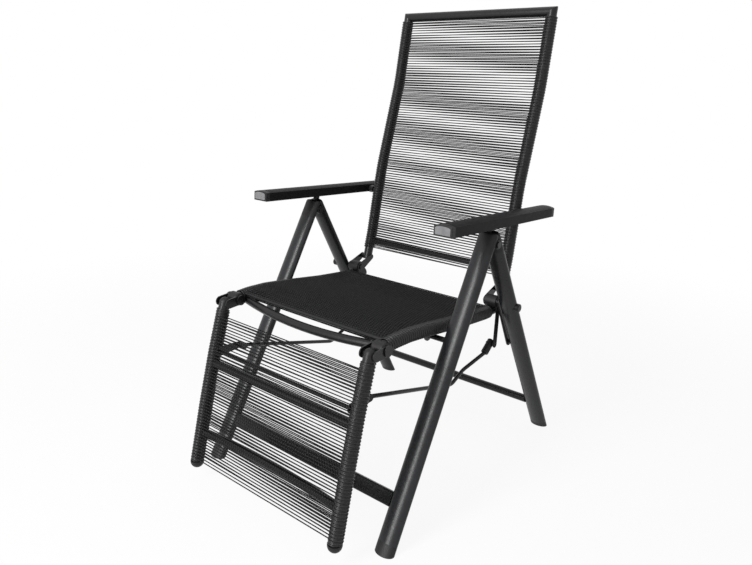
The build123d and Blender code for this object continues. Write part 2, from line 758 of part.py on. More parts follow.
def foot_side_tube():
    tube = foot_tube(FOOT_TUBE_R, FOOT_TUBE_R - TUBE_WALL)
    return tube - bar(FOOT_TOP_Y, FOOT_TOP_Z, BOLT_R, 0, LEG_X)


def foot_wrap():
    wrap = slice_z(foot_tube(WRAP_FOOT_R, FOOT_TUBE_R), FOOT_LOW_Z + CORD_D, FOOT_WRAP_TOP_Z)
    upper = foot_bar(FOOT_UPPER_BAR_Z, 0)
    lower = foot_bar(FOOT_LOWER_BAR_Z, FOOT_BAR_BOW)
    for crossbar in (upper, lower, foot_rod()):
        wrap -= crossbar
    return largest(wrap)


def foot_bar(z, bow, radius=FOOT_BAR_R, bore=FOOT_BAR_R - TUBE_WALL):
    """Crossbar between the footrest tubes, straight or bowed back."""
    y = place_on(foot_line(), z)
    if bow:
        path = ThreePointArc(spot(-SEAT_X, y, z), spot(0, y + bow, z), spot(SEAT_X, y, z))
    else:
        path = Line(spot(-SEAT_X, y, z), spot(SEAT_X, y, z))
    ring = Circle(radius) - Circle(bore) if bore else Circle(radius)
    tube = sweep(Plane(origin=path @ 0, z_dir=path % 0) * ring, path=path)
    for side in both(foot_tube(FOOT_TUBE_R)):
        tube -= side
    return largest(tube)


def foot_rod():
    """Thin stay between the footrest tubes, behind the cords."""
    stay = bar(*foot_rod_place(), CROSS_ROD_R, -SEAT_X, SEAT_X)
    for side in both(foot_tube(FOOT_TUBE_R)):
        stay -= side
    return largest(stay)


def foot_cords(side):
    """Cords across the footrest, before the tubes (-1) or behind them (1)."""
    line = cut_line(foot_line(), FOOT_CORD_LOW_Z, FOOT_CORD_TOP_Z)
    half = SEAT_X - sqrt(WRAP_FOOT_R ** 2 - FOOT_TUBE_R ** 2) - RUN_FIT
    sheet = net(line, side * FOOT_TUBE_R, half)
    if side > 0:
        sheet -= foot_bar(FOOT_LOWER_BAR_Z, FOOT_BAR_BOW, FOOT_BAR_R + GAP, 0)
        for bracket in both(rod_bracket()):
            sheet -= bracket
    return sheet


def foot_caps():
    top = Pos(SEAT_X, FOOT_TOP_Y, FOOT_TOP_Z) * Sphere(FOOT_TUBE_R) - foot_tube(FOOT_TUBE_R)
    top -= bar(FOOT_TOP_Y, FOOT_TOP_Z, BOLT_R, 0, LEG_X)
    low = Pos(SEAT_X, FOOT_LOW_Y, FOOT_LOW_Z) * Sphere(WRAP_FOOT_R) - foot_tube(FOOT_TUBE_R)
    low = slice_z(low, FOOT_LOW_Z - WRAP_FOOT_R, FOOT_LOW_Z + CORD_D)
    return [largest(top), largest(low)]


def foot_ears():
    """Two hinge plates on a footrest tube's top, joined by a spindle through it."""
    hinge = (FOOT_HINGE_Y, FOOT_HINGE_Z)
    top = (FOOT_TOP_Y, FOOT_TOP_Z)
    low = SEAT_X - WRAP_FOOT_R - GAP - PLATE
    ears = strap(hinge, top, EAR_R, low, low + PLATE)
    ears += strap(hinge, top, EAR_R, SEAT_X * 2 - low - PLATE, SEAT_X * 2 - low)
    ears -= bar(*hinge, FOOT_PIN_R + RUN_FIT, 0, LEG_X)
    return ears + bar(*top, BOLT_R, low, SEAT_X * 2 - low)


def foot_hinge_pin():
    """Pin through a rail's cap and both ears, with a flat head outside each ear."""
    hinge = (FOOT_HINGE_Y, FOOT_HINGE_Z)
    low = SEAT_X - WRAP_FOOT_R - GAP * 2 - PLATE
    high = SEAT_X * 2 - low
    pin = bar(*hinge, FOOT_PIN_R, low, high)
    pin += bar(*hinge, PIN_HEAD_R, low - BOLT_HEAD, low)
    return pin + bar(*hinge, PIN_HEAD_R, high, high + BOLT_HEAD)


def rod_bracket():
    """Plate from a footrest tube back to its push rod's pin."""
    high = SEAT_X - WRAP_FOOT_R - GAP
    carrier = (place_on(foot_line(), ROD_PIN[1]), ROD_PIN[1])
    plate = strap(carrier, ROD_PIN, EAR_R, high - PLATE, high, BOLT_HEAD_R)
    plate -= bar(*ROD_PIN, BOLT_R + RUN_FIT, 0, LEG_X)
    return plate - bar(*foot_rod_place(), CROSS_ROD_R, 0, LEG_X)


def foot_rod_place():
    return place_on(foot_line(), CROSS_ROD_Z), CROSS_ROD_Z


# Push rods
def rod_pin():
    """Pin through a bracket and its push rod's eye, with a long round nut inside."""
    high = SEAT_X - WRAP_FOOT_R - GAP
    inner = ROD_X - ROD_R - GAP
    pin = bar(*ROD_PIN, BOLT_R, inner, high)
    return pin + bar(*ROD_PIN, BOLT_HEAD_R, inner - ROD_NUT, inner)


def socket_ends():
    pin = spot(ROD_BACK_X, *LEVER_PIN)
    kink = spot(ROD_BACK_X, ROD_KINK_Y, ROD_KINK_Z)
    along = (pin - kink).normalized()
    return pin - along * ROD_SOCKET_LENGTH, pin, along


def push_rod():
    mouth, _, _ = socket_ends()
    points = [spot(ROD_X, *ROD_PIN), spot(ROD_X, ROD_BEND_Y, ROD_BEND_Z),
              spot(ROD_X, ROD_KINK_Y, ROD_KINK_Z), mouth]
    rod = swept(points, ROD_R, ROD_BEND_R)
    rod += bar(*ROD_PIN, BOLT_HEAD_R, ROD_X - ROD_EYE_WIDTH / 2, ROD_X + ROD_EYE_WIDTH / 2)
    rod -= bar(*ROD_PIN, BOLT_R + RUN_FIT, 0, LEG_X)
    return rod - rod_socket()


def rod_socket():
    mouth, pin, along = socket_ends()
    length = ROD_SOCKET_LENGTH + ROD_SOCKET_R
    body = extrude(Plane(origin=mouth, z_dir=along) * Circle(ROD_SOCKET_R), length)
    body = fillet(body.edges().filter_by(GeomType.CIRCLE), ROD_SOCKET_R / 4)
    return body - bar(*LEVER_PIN, BOLT_R + RUN_FIT, 0, LEG_X)


def side_pair(nodes, name, solid):
    nodes[name + "_left"], nodes[name + "_right"] = both(solid)


def solids_of(pieces):
    found = []
    for piece in pieces:
        found.extend(piece.solids())
    return found


def group(*pieces):
    """Separate solids of one node, each on both sides of the chair."""
    found = []
    for piece in pieces:
        found.extend(solids_of(both(piece)))
    return Compound(children=found)


def build():
    nodes = {}
    side_pair(nodes, "front_leg", leg_tube(-1))
    nodes["front_leg_caps"] = group(leg_cap(-1))
    nodes["front_feet"] = group(leg_foot(-1))
    nodes["front_crossbar"] = front_crossbar()
    nodes["leg_pivot_bolts"] = group(leg_pivot_bolt())
    nodes["armrest_lugs"] = group(armrest_lug())
    nodes["armrest_slide_pins"] = group(armrest_slide_pin())
    nodes["seat_pivot_pins"] = group(seat_pivot_pin())
    side_pair(nodes, "rear_leg", leg_tube(1))
    nodes["rear_leg_caps"] = group(leg_cap(1))
    nodes["rear_feet"] = group(leg_foot(1))
    nodes["rear_crossbar"] = rear_crossbar()
    nodes["leg_stop_caps"] = group(stop_bolt())
    nodes["link_pins"] = group(link_pin())
    nodes["link_plates"] = group(link_plate())
    side_pair(nodes, "seat_rail", seat_rail())
    nodes["seat_rail_wraps"] = group(seat_wrap())
    nodes["seat_front_bow"] = seat_bow()
    nodes["seat_front_bar"] = seat_front_bar()
    nodes["seat_rear_bar"] = seat_rear_bar()
    nodes["seat_cords_top"] = seat_cords(1)
    nodes["seat_cords_under"] = seat_cords(-1)
    nodes["seat_rail_caps"] = group(seat_cap())
    nodes["seat_pivot_tabs"] = group(pivot_tab())
    nodes["back_hinge_knuckles"] = group(back_knuckle())
    nodes["back_hinge_bolts"] = group(back_bolt())
    nodes["back_top_bar"] = back_top_bar()
    side_pair(nodes, "back_side_tube", back_side_tube())
    nodes["back_low_bar"] = back_low_bar()
    nodes["back_tube_wraps"] = group(back_wrap())
    nodes["back_cords_front"] = back_cords(1)
    nodes["back_cords_rear"] = back_cords(-1)
    nodes["back_hinge_plates"] = group(hinge_plate())
    nodes["recline_levers"] = group(recline_lever())
    nodes["lever_pins"] = group(lever_pin())
    nodes["armrest_bolts"] = group(arm_bolt())
    side_pair(nodes, "armrest", armrest())
    nodes["armrest_front_caps"] = group(arm_cap(ARM_FRONT_Y, ARM_FRONT_Y + ARM_CAP, ARM_FRONT_Y))
    nodes["armrest_rear_caps"] = group(arm_cap(ARM_BACK_Y - ARM_CAP, ARM_BACK_Y, ARM_BACK_Y))
    nodes["armrest_racks"] = group(arm_rack())
    nodes["footrest_hinge_pins"] = group(foot_hinge_pin())
    side_pair(nodes, "footrest_tube", foot_side_tube())
    nodes["footrest_tube_wraps"] = group(foot_wrap())
    nodes["footrest_upper_bar"] = foot_bar(FOOT_UPPER_BAR_Z, 0)
    nodes["footrest_lower_bar"] = foot_bar(FOOT_LOWER_BAR_Z, FOOT_BAR_BOW)
    nodes["footrest_stay"] = foot_rod()
    nodes["footrest_cords_front"] = foot_cords(-1)
    nodes["footrest_cords_rear"] = foot_cords(1)
    nodes["footrest_caps"] = group(*foot_caps())
    nodes["footrest_ears"] = group(foot_ears())
    nodes["rod_brackets"] = group(rod_bracket())
    nodes["rod_pins"] = group(rod_pin())
    nodes["push_rods"] = group(push_rod())
    nodes["rod_sockets"] = group(rod_socket())
    return nodes


def centred(nodes):
    """All nodes moved along Y so that the chair's box is centred over the origin."""
    box = Compound(children=solids_of(nodes.values())).bounding_box()
    shift = -(box.min.Y + box.max.Y) / 2
    print("moved along Y by", round(shift, 3))
    return {name: Pos(0, shift, 0) * node for name, node in nodes.items()}


os.makedirs("parts", exist_ok=True)
for node_name, node in centred(build()).items():
    export_step(node, "parts/" + node_name + ".step")
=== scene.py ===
import bpy
import json
import math
import numpy as np
from collections import namedtuple
from mathutils import Matrix, Vector


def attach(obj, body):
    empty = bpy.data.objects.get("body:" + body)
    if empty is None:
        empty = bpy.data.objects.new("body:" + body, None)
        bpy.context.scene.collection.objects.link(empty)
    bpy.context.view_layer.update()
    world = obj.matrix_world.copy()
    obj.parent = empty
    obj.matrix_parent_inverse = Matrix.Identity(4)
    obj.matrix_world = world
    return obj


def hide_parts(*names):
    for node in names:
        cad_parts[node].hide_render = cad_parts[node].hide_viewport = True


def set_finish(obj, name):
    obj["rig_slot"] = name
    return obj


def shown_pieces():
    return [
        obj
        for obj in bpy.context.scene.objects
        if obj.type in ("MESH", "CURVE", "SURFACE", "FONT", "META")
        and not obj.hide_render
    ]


# Reclining garden armchair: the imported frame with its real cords, coated tubes and fittings.
# Metres, +X to the sitter's left, the sitter looks along -Y, +Z up.

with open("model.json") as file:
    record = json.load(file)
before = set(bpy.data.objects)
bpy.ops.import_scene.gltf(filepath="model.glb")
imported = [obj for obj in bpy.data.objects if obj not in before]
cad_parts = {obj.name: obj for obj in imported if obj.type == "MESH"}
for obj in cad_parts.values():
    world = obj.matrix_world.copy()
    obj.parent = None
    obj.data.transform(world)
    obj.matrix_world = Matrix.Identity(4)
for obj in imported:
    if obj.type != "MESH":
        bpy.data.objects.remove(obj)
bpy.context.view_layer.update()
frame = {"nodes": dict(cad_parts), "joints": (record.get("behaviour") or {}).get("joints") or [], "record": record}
nodes = frame["nodes"]

# Photograph: its size, lens and optical centre in pixels, then the camera's place and its angles
IMAGE_WIDTH = 752
IMAGE_HEIGHT = 565
FOCAL_PX = 663.34
CENTRE_U = 380.86
CENTRE_V = 242.13
SENSOR_MM = 36
CAMERA_PLACE = (0.9638, -1.1895, 0.9254)
CAMERA_YAW = 0.680
CAMERA_PITCH = 0.246
CAMERA_ROLL = 0.023

# Cord: its radius, and the sides of its mesh where it is wound and where it crosses
CORD_R = 0.00125
WOUND_SIDES = 6
CROSSING_SIDES = 8

# Winding: its pitch, the steps of a turn, how deep it beds in, and how far crossing turns stand out
WOUND_PITCH = 0.002287
WOUND_STEPS = 16
WOUND_SINK = 0.0006
RIDGE = 0.0015

# Crossing strings: every third turn crosses over, with ends that lean apart and stray a little
CROSSING_PITCH = WOUND_PITCH * 3
CROSSING_SLANT = CROSSING_PITCH / 8
UNEVEN = 0.00025

# Strings behind and below: pitches that give the light bands seen between front and rear strings
SEAT_UNDER_PITCH = WOUND_PITCH * 1.5
BACK_REAR_PITCH_LOW = 0.00667
BACK_REAR_PITCH_HIGH = 0.00644
FOOT_REAR_PITCH = 0.0066
FOOT_REAR_START = 0.0039

# Where a string goes round a tube: how far, how deep it is tucked in, and the stations of that bend
TUCK_ANGLE = math.radians(42)
TUCK_DEPTH = 0.0012
TUCK_STATIONS = 4

# Heights where the footrest's rear strings leave room for the bowed bar and the rod brackets
FOOT_BAR_ROOM = (0.131, 0.105)
FOOT_BRACKET_ROOM = (0.3195, 0.2945)

# Heights of the crossings on both faces, then how far out the tubes of seat and footrest lie and
# how far their strings lie from the tubes' centre
BACK_CROSSED = (0.4525, 1.0705)
FOOT_CROSSED = (0.382, 0.0565)
SEAT_X = 0.218
SEAT_REACH = 0.01425

# Tube lines: spacing of their stations, and the least number of stations in a bend
LINE_STEP = 0.0005
LEAST_STATIONS = 4

# Columns of a (y, z) line
Y = 0
Z = 1

SEED = 7
rng = np.random.default_rng(SEED)


def joint_place(name):
    """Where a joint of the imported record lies."""
    return next(joint["pos_m"] for joint in frame["joints"] if joint["name"] == name)


HINGE_Y = joint_place("leg_fold")[1]


def add_object(name, data):
    """New object in the scene for a mesh, a lamp or a camera."""
    added = bpy.data.objects.new(name, data)
    bpy.context.scene.collection.objects.link(added)
    return added


def make_camera():
    """Camera at the photograph's viewpoint."""
    data = bpy.data.cameras.new("camera")
    data.sensor_fit = "HORIZONTAL"
    data.sensor_width = SENSOR_MM
    data.lens = FOCAL_PX / IMAGE_WIDTH * SENSOR_MM
    data.shift_x = (IMAGE_WIDTH / 2 - CENTRE_U) / IMAGE_WIDTH
    data.shift_y = (CENTRE_V - IMAGE_HEIGHT / 2) / IMAGE_WIDTH
    forward = Vector((-math.sin(CAMERA_YAW) * math.cos(CAMERA_PITCH),
                      math.cos(CAMERA_YAW) * math.cos(CAMERA_PITCH), -math.sin(CAMERA_PITCH)))
    level = Vector((math.cos(CAMERA_YAW), math.sin(CAMERA_YAW), 0))
    upward = level.cross(forward)
    right = level * math.cos(CAMERA_ROLL) + upward * math.sin(CAMERA_ROLL)
    up = upward * math.cos(CAMERA_ROLL) - level * math.sin(CAMERA_ROLL)
    camera = add_object("camera", data)
    turned = Matrix((right, up, -forward)).transposed().to_4x4()
    camera.matrix_world = Matrix.Translation(CAMERA_PLACE) @ turned
    bpy.context.scene.camera = camera


# Centre lines
def unit_rows(vectors):
    """The same vectors, one to a row, each with length one."""
    return vectors / np.linalg.norm(vectors, axis=1, keepdims=True)


def rounded_line(corners, bend):
    """Stations along a (y, z) line, LINE_STEP apart, its corners rounded with the bend as radius."""
    corners = np.array(corners, float) + (HINGE_Y, 0)
    path = [corners[:1]]
    for before, corner, after in zip(corners, corners[1:], corners[2:]):
        back = (before - corner) / np.linalg.norm(before - corner)
        ahead = (after - corner) / np.linalg.norm(after - corner)
        turn = math.pi - math.acos(np.dot(back, ahead))
        middle = corner + (back + ahead) / np.linalg.norm(back + ahead) * bend / math.cos(turn / 2)
        start = corner + back * bend * math.tan(turn / 2) - middle
        end = corner + ahead * bend * math.tan(turn / 2) - middle
        share = np.linspace(0, 1, max(int(bend * turn / LINE_STEP), LEAST_STATIONS))[:, None]
        arc = (np.sin((1 - share) * turn) * start + np.sin(share * turn) * end) / math.sin(turn)
        path.append(middle + arc)
    path.append(corners[-1:])
    path = np.concatenate(path)
    length = lengths_along(path)
    even = np.linspace(0, length[-1], int(length[-1] / LINE_STEP))
    return np.stack([np.interp(even, length, path[:, i]) for i in (Y, Z)], axis=1)


def lengths_along(path):
    """Length of a path up to each of its stations."""
    steps = np.linalg.norm(np.diff(path, axis=0), axis=1)
    return np.concatenate([[0], np.cumsum(steps)])


def length_at(line, column, value):
    """Length along a line where its y or z reaches a value; y is counted from the leg hinge."""
    value = value + HINGE_Y if column == Y else value
    run = line[:, column]
    length = lengths_along(line)
    order = 1 if run[-1] > run[0] else -1
    return float(np.interp(value, run[::order], length[::order]))


def lengths_between(line, column, values):
    """The lengths along a line at two values of y or z, the shorter one first."""
    return sorted(length_at(line, column, value) for value in values)


def on_line(line, lengths):
    """Places on a line and the unit vectors to its left there, as (x, y, z) with x at zero."""
    length = lengths_along(line)
    slope = unit_rows(np.gradient(line, axis=0))
    place = [np.interp(lengths, length, line[:, i]) for i in (Y, Z)]
    along_y, along_z = [np.interp(lengths, length, slope[:, i]) for i in (Y, Z)]
    none = np.zeros_like(lengths)
    return np.stack([none, *place], axis=1), np.stack([none, -along_z, along_y], axis=1)


# Round cord as mesh
def ring_points(points, outward, radius, sides):
    """Rings of a round cord along points; outward is a direction across the cord at each point."""
    along = unit_rows(np.gradient(points, axis=0))
    across = unit_rows(np.cross(along, outward))
    outward = np.cross(across, along)
    angle = np.arange(sides) * 2 * math.pi / sides
    spokes = (np.cos(angle)[None, :, None] * outward[:, None, :]
              + np.sin(angle)[None, :, None] * across[:, None, :])
    return points[:, None, :] + radius * spokes


def cord_faces(rings, sides, first):
    """Side quads and the two end faces of one cord whose vertices start at first."""
    ring, side = np.meshgrid(np.arange(rings - 1), np.arange(sides), indexing="ij")
    near = ring * sides
    far = near + sides
    after = (side + 1) % sides
    quads = np.stack([near + side, near + after, far + after, far + side], axis=-1)
    start = [first + k for k in reversed(range(sides))]
    end = [first + (rings - 1) * sides + k for k in range(sides)]
    return (quads.reshape(-1, 4) + first).tolist() + [start, end]


def cord_piece(name, cords, sides, body, node):
    """One piece of several cords, each given as (points, outward), in place of a soft CAD node."""
    vertices = []
    faces = []
    count = 0
    for points, outward in cords:
        rings = ring_points(points, outward, CORD_R, sides)
        faces += cord_faces(len(points), sides, count)
        count += len(points) * sides
        vertices.append(rings.reshape(-1, 3))
    mesh = bpy.data.meshes.new(name)
    mesh.from_pydata(np.concatenate(vertices).tolist(), [], faces)
    mesh.shade_smooth()
    piece = add_object(name, mesh)
    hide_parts(node)
    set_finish(piece, "cord")
    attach(piece, body)


def wound_cord(line, start, end, x, reach):
    """Cord wound closely round a tube at x, a little higher at each turn that crosses over."""
    turns = (end - start) / WOUND_PITCH
    lengths = np.linspace(start, end, int(turns * WOUND_STEPS))
    angle = (lengths - start) / WOUND_PITCH * 2 * math.pi
    middle, left = on_line(line, lengths)
    sideways = np.array([math.copysign(1, x), 0, 0])
    outward = np.cos(angle)[:, None] * left + np.sin(angle)[:, None] * sideways
    ridge = (0.5 + 0.5 * np.cos((lengths - start) / CROSSING_PITCH * 2 * math.pi)) ** 2
    distance = reach - WOUND_SINK + RIDGE * ridge
    points = middle + outward * distance[:, None] + [x, 0, 0]
    return points, outward


def crossing_cord(line, length, x, reach, face):
    """String from tube to tube on one face (1 the line's left, -1 its right), tucked in round both."""
    ends = length + np.array([-face, face]) * CROSSING_SLANT + rng.normal(0, UNEVEN, 2)
    middle, left = on_line(line, ends)
    tuck = np.linspace(1, 0, TUCK_STATIONS)
    points = []
    outward = []
    for i, (side, order) in enumerate(((-1, 1), (1, -1))):
        for share in tuck[::order]:
            angle = TUCK_ANGLE * share
            direction = left[i] * face * math.cos(angle) + np.array([side, 0, 0]) * math.sin(angle)
            points.append(middle[i] + direction * (reach - TUCK_DEPTH * share) + [side * x, 0, 0])
            outward.append(direction)
    return np.array(points), np.array(outward)


# Strung panels

# A set of crossings: its piece and CAD node, the y or z between which it lies, its pitch, the face
# it lies on, how much the pitch changes up to the end, how far in it starts, what it leaves free
Crossings = namedtuple("Crossings", "name node span pitch face pitch_change start free",
                       defaults=(0, 0, ()))

# A panel: its tubes' centre line as (y, z) with y counted from the leg hinge, the radius of its
# bends, the column its spans are measured in, how far out the tubes lie, how far the strings lie
# from the tubes' centre, the CAD node of its windings and the span they cover
Panel = namedtuple("Panel", "name body line bend column x reach wraps wound sets")

PANELS = (
    Panel(
        name="back",
        body="backrest",
        line=((0.1604, 0.417), (0.18095, 0.49032), (0.21806, 0.6738), (0.28892, 0.90521),
              (0.3235, 1.0835)),
        bend=0.5,
        column=Z,
        x=0.2156,
        reach=0.01375,
        wraps="back_tube_wraps",
        wound=(0.450, 1.0712),
        sets=(
            Crossings("front_crossings", "back_cords_front", BACK_CROSSED, CROSSING_PITCH, 1),
            Crossings("rear_crossings", "back_cords_rear", BACK_CROSSED, BACK_REAR_PITCH_LOW, -1,
                      pitch_change=BACK_REAR_PITCH_HIGH - BACK_REAR_PITCH_LOW),
        ),
    ),
    Panel(
        name="seat",
        body="seat",
        line=((0.148, 0.381), (0.0831, 0.382), (-0.0302, 0.393), (-0.15, 0.409), (-0.2176, 0.4165),
              (-0.2702, 0.418), (-0.309, 0.415)),
        bend=0.2,
        column=Y,
        x=SEAT_X,
        reach=SEAT_REACH,
        wraps="seat_rail_wraps",
        wound=(0.095, -0.295),
        sets=(
            Crossings("top_crossings", "seat_cords_top", (0.0935, -0.2935), CROSSING_PITCH, -1),
            Crossings("under_crossings", "seat_cords_under", (0.0935, -0.268), SEAT_UNDER_PITCH, 1),
        ),
    ),
    Panel(
        name="footrest",
        body="footrest",
        line=((-0.34, 0.413), (-0.373, 0.3001), (-0.402, 0.1869), (-0.434, 0.05)),
        bend=0.6,
        column=Z,
        x=SEAT_X,
        reach=SEAT_REACH,
        wraps="footrest_tube_wraps",
        wound=(0.398, 0.0535),
        sets=(
            Crossings("front_crossings", "footrest_cords_front", FOOT_CROSSED, CROSSING_PITCH, -1),
            Crossings("rear_crossings", "footrest_cords_rear", FOOT_CROSSED, FOOT_REAR_PITCH, 1,
                      start=FOOT_REAR_START, free=(FOOT_BAR_ROOM, FOOT_BRACKET_ROOM)),
        ),
    ),
)


def string_crossings(line, panel, strings):
    """A set of crossings from one end of its span to the other, without those where it stays free."""
    start, end = lengths_between(line, panel.column, strings.span)
    free = [lengths_between(line, panel.column, values) for values in strings.free]
    length = start + strings.start
    cords = []
    while length < end:
        if not any(low < length < high for low, high in free):
            cords.append(crossing_cord(line, length, panel.x, panel.reach, strings.face))
        length += strings.pitch + strings.pitch_change * (length - start) / (end - start)
    return cords


def string_panel(panel):
    """Winding on both tubes of a panel and its sets of crossings."""
    line = rounded_line(panel.line, panel.bend)
    start, end = lengths_between(line, panel.column, panel.wound)
    for side, x in (("left", panel.x), ("right", -panel.x)):
        winding = wound_cord(line, start, end, x, panel.reach)
        cord_piece(f"{panel.name}_winding_{side}", [winding], WOUND_SIDES, panel.body, panel.wraps)
    for strings in panel.sets:
        cords = string_crossings(line, panel, strings)
        cord_piece(f"{panel.name}_{strings.name}", cords, CROSSING_SIDES, panel.body, strings.node)


# Finishes

# Patterns over a surface, each stretched along some axes where asked
Noise = namedtuple("Noise", "scale detail stretch", defaults=(3, None))
Wave = namedtuple("Wave", "scale distortion detail_scale stretch")

# A finish: its plain roughness and shine, a pattern that moves the colour between two shares of the paint
# (random tone, and on the twisted cord painted highlight and shade along the strands), one that moves the
# roughness, one for the grain with its strength and depth, and how metallic it is
Finish = namedtuple("Finish", "roughness shine drift shares wear rough grain strength depth metallic",
                    defaults=(0,))

# Parts of a pattern's range over which it moves a colour, and over which it moves a roughness
RAMP_SPAN = (0.35, 0.65)
WEAR_SPAN = (0.3, 0.7)

POWDER_COAT = Finish(
    roughness=0.31, shine=0.3,
    drift=Noise(60), shares=(0.86, 1.14),
    wear=Noise(220, 4), rough=(0.26, 0.36),
    grain=Noise(900, 2), strength=0.25, depth=0.0002,
)
MATT_COAT = POWDER_COAT._replace(roughness=0.55, shine=0.1, rough=(0.5, 0.6))
MOULDED_PLASTIC = Finish(
    roughness=0.5, shine=0.3,
    drift=Noise(90), shares=(0.85, 1.12),
    wear=Noise(400, 4), rough=(0.42, 0.56),
    grain=Noise(1600, 4), strength=0.35, depth=0.0002,
)
BLACKENED_STEEL = Finish(
    roughness=0.38, shine=0.5,
    drift=Noise(500), shares=(0.7, 1.4),
    wear=Noise(900, 4), rough=(0.28, 0.46),
    grain=Noise(1500, 3, (1, 6, 6)), strength=0.2, depth=0.0001,
    metallic=0.8,
)

# The cord shows the twist of its strands where it crosses, its colour painted lighter on the strands'
# crests and darker in their grooves as painted highlight and shade, and a tight satin face where it is wound
STRANDS = Wave(90, 1.5, 0.5, (1, 0.35, 0.35))
TWISTED_CORD = Finish(
    roughness=0.45, shine=0.1,
    # Painted highlight and shade: the colour swings from a quarter of the paint to nearly twice it along the twist
    drift=STRANDS, shares=(0.25, 1.8),
    wear=Noise(700), rough=(0.38, 0.52),
    grain=STRANDS, strength=0.9, depth=0.0006,
)
WOUND_CORD = Finish(
    roughness=0.36, shine=0.42,
    drift=Noise(160, 2, (0.12, 2.5, 2.5)), shares=(0.7, 1.35),
    wear=Noise(700), rough=(0.29, 0.43),
    grain=Noise(2600, 3, (0.25, 1, 1)), strength=0.3, depth=0.0002,
)

# Paint and finish of each slot in the record
PAINTS = {
    "anthracite_tube": (0.013, 0.0135, 0.015),
    "dark_steel": (0.009, 0.009, 0.010),
    "cord": (0.012, 0.012, 0.0125),
    "plastic": (0.009, 0.009, 0.0095),
    "zinc_steel": (0.03, 0.03, 0.032),
}
FINISHES = {
    "anthracite_tube": POWDER_COAT,
    "dark_steel": POWDER_COAT,
    "cord": TWISTED_CORD,
    "plastic": MOULDED_PLASTIC,
    "zinc_steel": BLACKENED_STEEL,
}


def new_material(name, color, roughness, shine=0.5, metallic=0):
    """Material with one shader, and its nodes, shader and object coordinates to build on."""
    material = bpy.data.materials.new(name)
    material.use_nodes = True
    tree = material.node_tree
    shader = tree.nodes["Principled BSDF"]
    shader.inputs["Base Color"].default_value = (*color, 1)
    shader.inputs["Roughness"].default_value = roughness
    shader.inputs["Specular IOR Level"].default_value = shine
    shader.inputs["Metallic"].default_value = metallic
    place = tree.nodes.new("ShaderNodeTexCoord").outputs["Object"]
    return material, tree, shader, place


def pattern_over(tree, place, pattern):
    """Output of a pattern laid over the surface."""
    if pattern.stretch:
        mapping = tree.nodes.new("ShaderNodeMapping")
        mapping.inputs["Scale"].default_value = pattern.stretch
        tree.links.new(place, mapping.inputs["Vector"])
        place = mapping.outputs["Vector"]
    if isinstance(pattern, Wave):
        node = tree.nodes.new("ShaderNodeTexWave")
        node.bands_direction = "DIAGONAL"
        node.inputs["Distortion"].default_value = pattern.distortion
        node.inputs["Detail Scale"].default_value = pattern.detail_scale
    else:
        node = tree.nodes.new("ShaderNodeTexNoise")
        node.inputs["Detail"].default_value = pattern.detail
    node.inputs["Scale"].default_value = pattern.scale
    tree.links.new(place, node.inputs["Vector"])
    return node.outputs["Fac"]


def tint(tree, factor, dark, light, shader):
    """Base colour that follows a pattern between two colours."""
    ramp = tree.nodes.new("ShaderNodeValToRGB")
    for element, position, color in zip(ramp.color_ramp.elements, RAMP_SPAN, (dark, light)):
        element.position = position
        element.color = (*color, 1)
    tree.links.new(factor, ramp.inputs["Fac"])
    tree.links.new(ramp.outputs["Color"], shader.inputs["Base Color"])


def spread(tree, factor, low, high, shader):
    """Roughness that follows a pattern between two values."""
    node = tree.nodes.new("ShaderNodeMapRange")
    node.inputs["From Min"].default_value = WEAR_SPAN[0]
    node.inputs["From Max"].default_value = WEAR_SPAN[1]
    node.inputs["To Min"].default_value = low
    node.inputs["To Max"].default_value = high
    tree.links.new(factor, node.inputs["Value"])
    tree.links.new(node.outputs["Result"], shader.inputs["Roughness"])


def bump(tree, factor, strength, depth, shader):
    """Grain that follows a pattern."""
    node = tree.nodes.new("ShaderNodeBump")
    node.inputs["Strength"].default_value = strength
    node.inputs["Distance"].default_value = depth
    tree.links.new(factor, node.inputs["Height"])
    tree.links.new(node.outputs["Normal"], shader.inputs["Normal"])


def finished(name, color, finish):
    """Material of one paint with a finish."""
    material, tree, shader, place = new_material(
        name, color, finish.roughness, finish.shine, finish.metallic)
    drift = pattern_over(tree, place, finish.drift)
    wear = pattern_over(tree, place, finish.wear)
    grain = drift if finish.grain == finish.drift else pattern_over(tree, place, finish.grain)
    dark, light = [tuple(channel * share for channel in color) for share in finish.shares]
    # On the twisted cord this tint is painted highlight and shade along the strands; on the other finishes it is
    # random tone
    tint(tree, drift, dark, light, shader)
    spread(tree, wear, *finish.rough, shader)
    bump(tree, grain, finish.strength, finish.depth, shader)
    return material


def finish_materials():
    """One finish for each slot of the record, on every CAD node and new piece that names it."""
    finishes = {}
    matt = finished("armrest_finish", PAINTS["dark_steel"], MATT_COAT)
    for row in frame["record"]["materials"]:
        slot = row["slot"]
        finishes[slot] = finished(slot + "_finish", PAINTS[slot], FINISHES[slot])
    for row in frame["record"]["subparts"]:
        dress(nodes[row["node"]], finishes[row["material_slot"]])
    for name in ("armrest_left", "armrest_right"):
        dress(nodes[name], matt)
    wound = finished("wound_cord_finish", PAINTS["cord"], WOUND_CORD)
    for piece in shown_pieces():
        if "_winding_" in piece.name:
            dress(piece, wound)
        elif "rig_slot" in piece and not piece.data.materials:
            dress(piece, finishes[piece["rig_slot"]])


def dress(piece, material):
    """Give a piece this material alone."""
    piece.data.materials.clear()
    piece.data.materials.append(material)


# Armrest end plates, pale sheets of painted reflection on the armrests' front ends: the armrests' front end
# as (y, z) from the leg hinge, and their fall to the rear
ARM_X = 0.2675
ARM_FRONT = (-0.1857, 0.6355)
ARM_RUN = 0.4307
ARM_DROP = 0.0219

